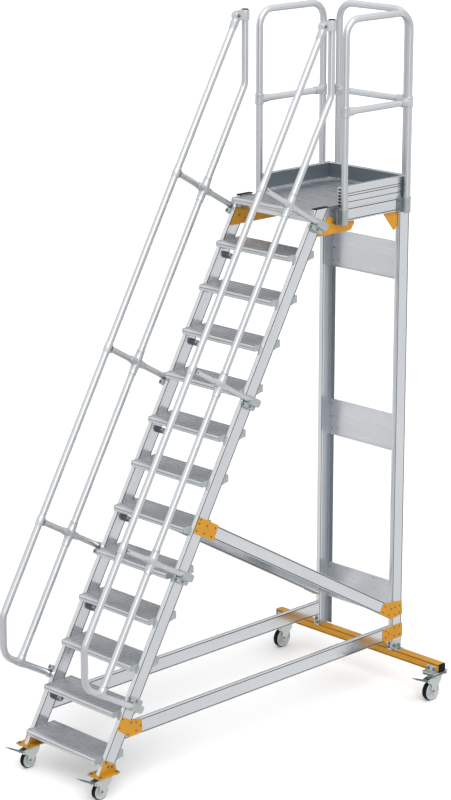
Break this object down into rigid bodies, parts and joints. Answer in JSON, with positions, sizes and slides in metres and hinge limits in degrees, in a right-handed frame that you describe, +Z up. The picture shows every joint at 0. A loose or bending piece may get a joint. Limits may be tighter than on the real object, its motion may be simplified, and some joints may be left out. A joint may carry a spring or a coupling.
{
  "type": "mobile ladder stand",
  "caption": "Mobile stair stand with a guarded platform, handrails and braked swivel casters, for reaching high work.",
  "frame": {"origin": "centre of the footprint on the floor", "axes": "+X to the right seen from the foot of the stair, +Y from the foot of the stair to the back, +Z up"},
  "size_m": [1.4, 2.7066, 4.214],
  "materials": {
    "aluminium": "mill-finished extrusion, fine lengthwise grain",
    "tread": "ribbed anti-slip aluminium tread",
    "casting": "cast fitting, sand texture",
    "orange": "orange-yellow powder coat",
    "galvanised": "zinc plated",
    "tyre": "black rubber tyre on a grey hub",
    "black_plastic": "moulded end cap"
  },
  "bodies": {
    "frame": {"step_01": "tread", "step_02": "tread", "step_03": "tread", "step_04": "tread", "step_05": "tread", "step_06": "tread", "step_07": "tread", "step_08": "tread", "step_09": "tread", "step_10": "tread", "step_11": "tread", "step_12": "tread", "platform_deck": "aluminium", "toe_board_rear": "aluminium", "guard_hoop_rear": "aluminium", "knee_rail_rear": "aluminium", "cross_panel_lower": "aluminium", "cross_panel_middle": "aluminium", "cross_panel_upper": "aluminium", "outrigger_beam": "orange", "stile_left": "aluminium", "base_rail_left": "aluminium", "brace_left": "aluminium", "rear_post_left": "aluminium", "side_rail_left": "aluminium", "toe_board_left": "aluminium", "guard_hoop_left": "aluminium", "knee_rail_left": "aluminium", "handrail_inner_left": "aluminium", "handrail_outer_left": "aluminium", "handrail_arm_lower_left": "aluminium", "handrail_arm_middle_left": "aluminium", "handrail_arm_upper_left": "aluminium", "stile_foot_left": "orange", "stile_right": "aluminium", "base_rail_right": "aluminium", "brace_right": "aluminium", "rear_post_right": "aluminium", "side_rail_right": "aluminium", "toe_board_right": "aluminium", "guard_hoop_right": "aluminium", "knee_rail_right": "aluminium", "handrail_inner_right": "aluminium", "handrail_outer_right": "aluminium", "handrail_arm_lower_right": "aluminium", "handrail_arm_middle_right": "aluminium", "handrail_arm_upper_right": "aluminium", "stile_foot_right": "orange"},
    "front_caster_left_fork": {"front_caster_left_fork": "galvanised"},
    "front_caster_left_wheel": {"front_caster_left_wheel": "tyre"},
    "front_caster_left_brake_pedal": {"front_caster_left_brake_pedal": "galvanised"},
    "rear_caster_left_fork": {"rear_caster_left_fork": "galvanised"},
    "rear_caster_left_wheel": {"rear_caster_left_wheel": "tyre"},
    "rear_caster_left_brake_pedal": {"rear_caster_left_brake_pedal": "galvanised"},
    "front_caster_right_fork": {"front_caster_right_fork": "galvanised"},
    "front_caster_right_wheel": {"front_caster_right_wheel": "tyre"},
    "front_caster_right_brake_pedal": {"front_caster_right_brake_pedal": "galvanised"},
    "rear_caster_right_fork": {"rear_caster_right_fork": "galvanised"},
    "rear_caster_right_wheel": {"rear_caster_right_wheel": "tyre"},
    "rear_caster_right_brake_pedal": {"rear_caster_right_brake_pedal": "galvanised"}
  },
  "joints": [
    {"name": "front_caster_left_swivel", "type": "hinge", "parent": "frame", "child": "front_caster_left_fork", "pos_m": [-0.3095, -1.15875, 0.138], "axis": [0, 0, 1], "continuous": true},
    {"name": "front_caster_left_roll", "type": "hinge", "parent": "front_caster_left_fork", "child": "front_caster_left_wheel", "pos_m": [-0.3095, -1.19475, 0.05], "axis": [1, 0, 0], "continuous": true},
    {"name": "front_caster_left_brake", "type": "hinge", "parent": "front_caster_left_fork", "child": "front_caster_left_brake_pedal", "pos_m": [-0.3095, -1.23675, 0.11], "axis": [1, 0, 0], "range_deg": [0, 18]},
    {"name": "rear_caster_left_swivel", "type": "hinge", "parent": "frame", "child": "rear_caster_left_fork", "pos_m": [-0.64, 1.27725, 0.163], "axis": [0, 0, 1], "continuous": true},
    {"name": "rear_caster_left_roll", "type": "hinge", "parent": "rear_caster_left_fork", "child": "rear_caster_left_wheel", "pos_m": [-0.64, 1.23925, 0.0625], "axis": [1, 0, 0], "continuous": true},
    {"name": "rear_caster_left_brake", "type": "hinge", "parent": "rear_caster_left_fork", "child": "rear_caster_left_brake_pedal", "pos_m": [-0.64, 1.19925, 0.135], "axis": [1, 0, 0], "range_deg": [0, 18]},
    {"name": "front_caster_right_swivel", "type": "hinge", "parent": "frame", "child": "front_caster_right_fork", "pos_m": [0.3095, -1.15875, 0.138], "axis": [0, 0, 1], "continuous": true},
    {"name": "front_caster_right_roll", "type": "hinge", "parent": "front_caster_right_fork", "child": "front_caster_right_wheel", "pos_m": [0.3095, -1.19475, 0.05], "axis": [1, 0, 0], "continuous": true},
    {"name": "front_caster_right_brake", "type": "hinge", "parent": "front_caster_right_fork", "child": "front_caster_right_brake_pedal", "pos_m": [0.3095, -1.23675, 0.11], "axis": [1, 0, 0], "range_deg": [0, 18]},
    {"name": "rear_caster_right_swivel", "type": "hinge", "parent": "frame", "child": "rear_caster_right_fork", "pos_m": [0.64, 1.27725, 0.163], "axis": [0, 0, 1], "continuous": true},
    {"name": "rear_caster_right_roll", "type": "hinge", "parent": "rear_caster_right_fork", "child": "rear_caster_right_wheel", "pos_m": [0.64, 1.23925, 0.0625], "axis": [1, 0, 0], "continuous": true},
    {"name": "rear_caster_right_brake", "type": "hinge", "parent": "rear_caster_right_fork", "child": "rear_caster_right_brake_pedal", "pos_m": [0.64, 1.19925, 0.135], "axis": [1, 0, 0], "range_deg": [0, 18]}
  ]
}
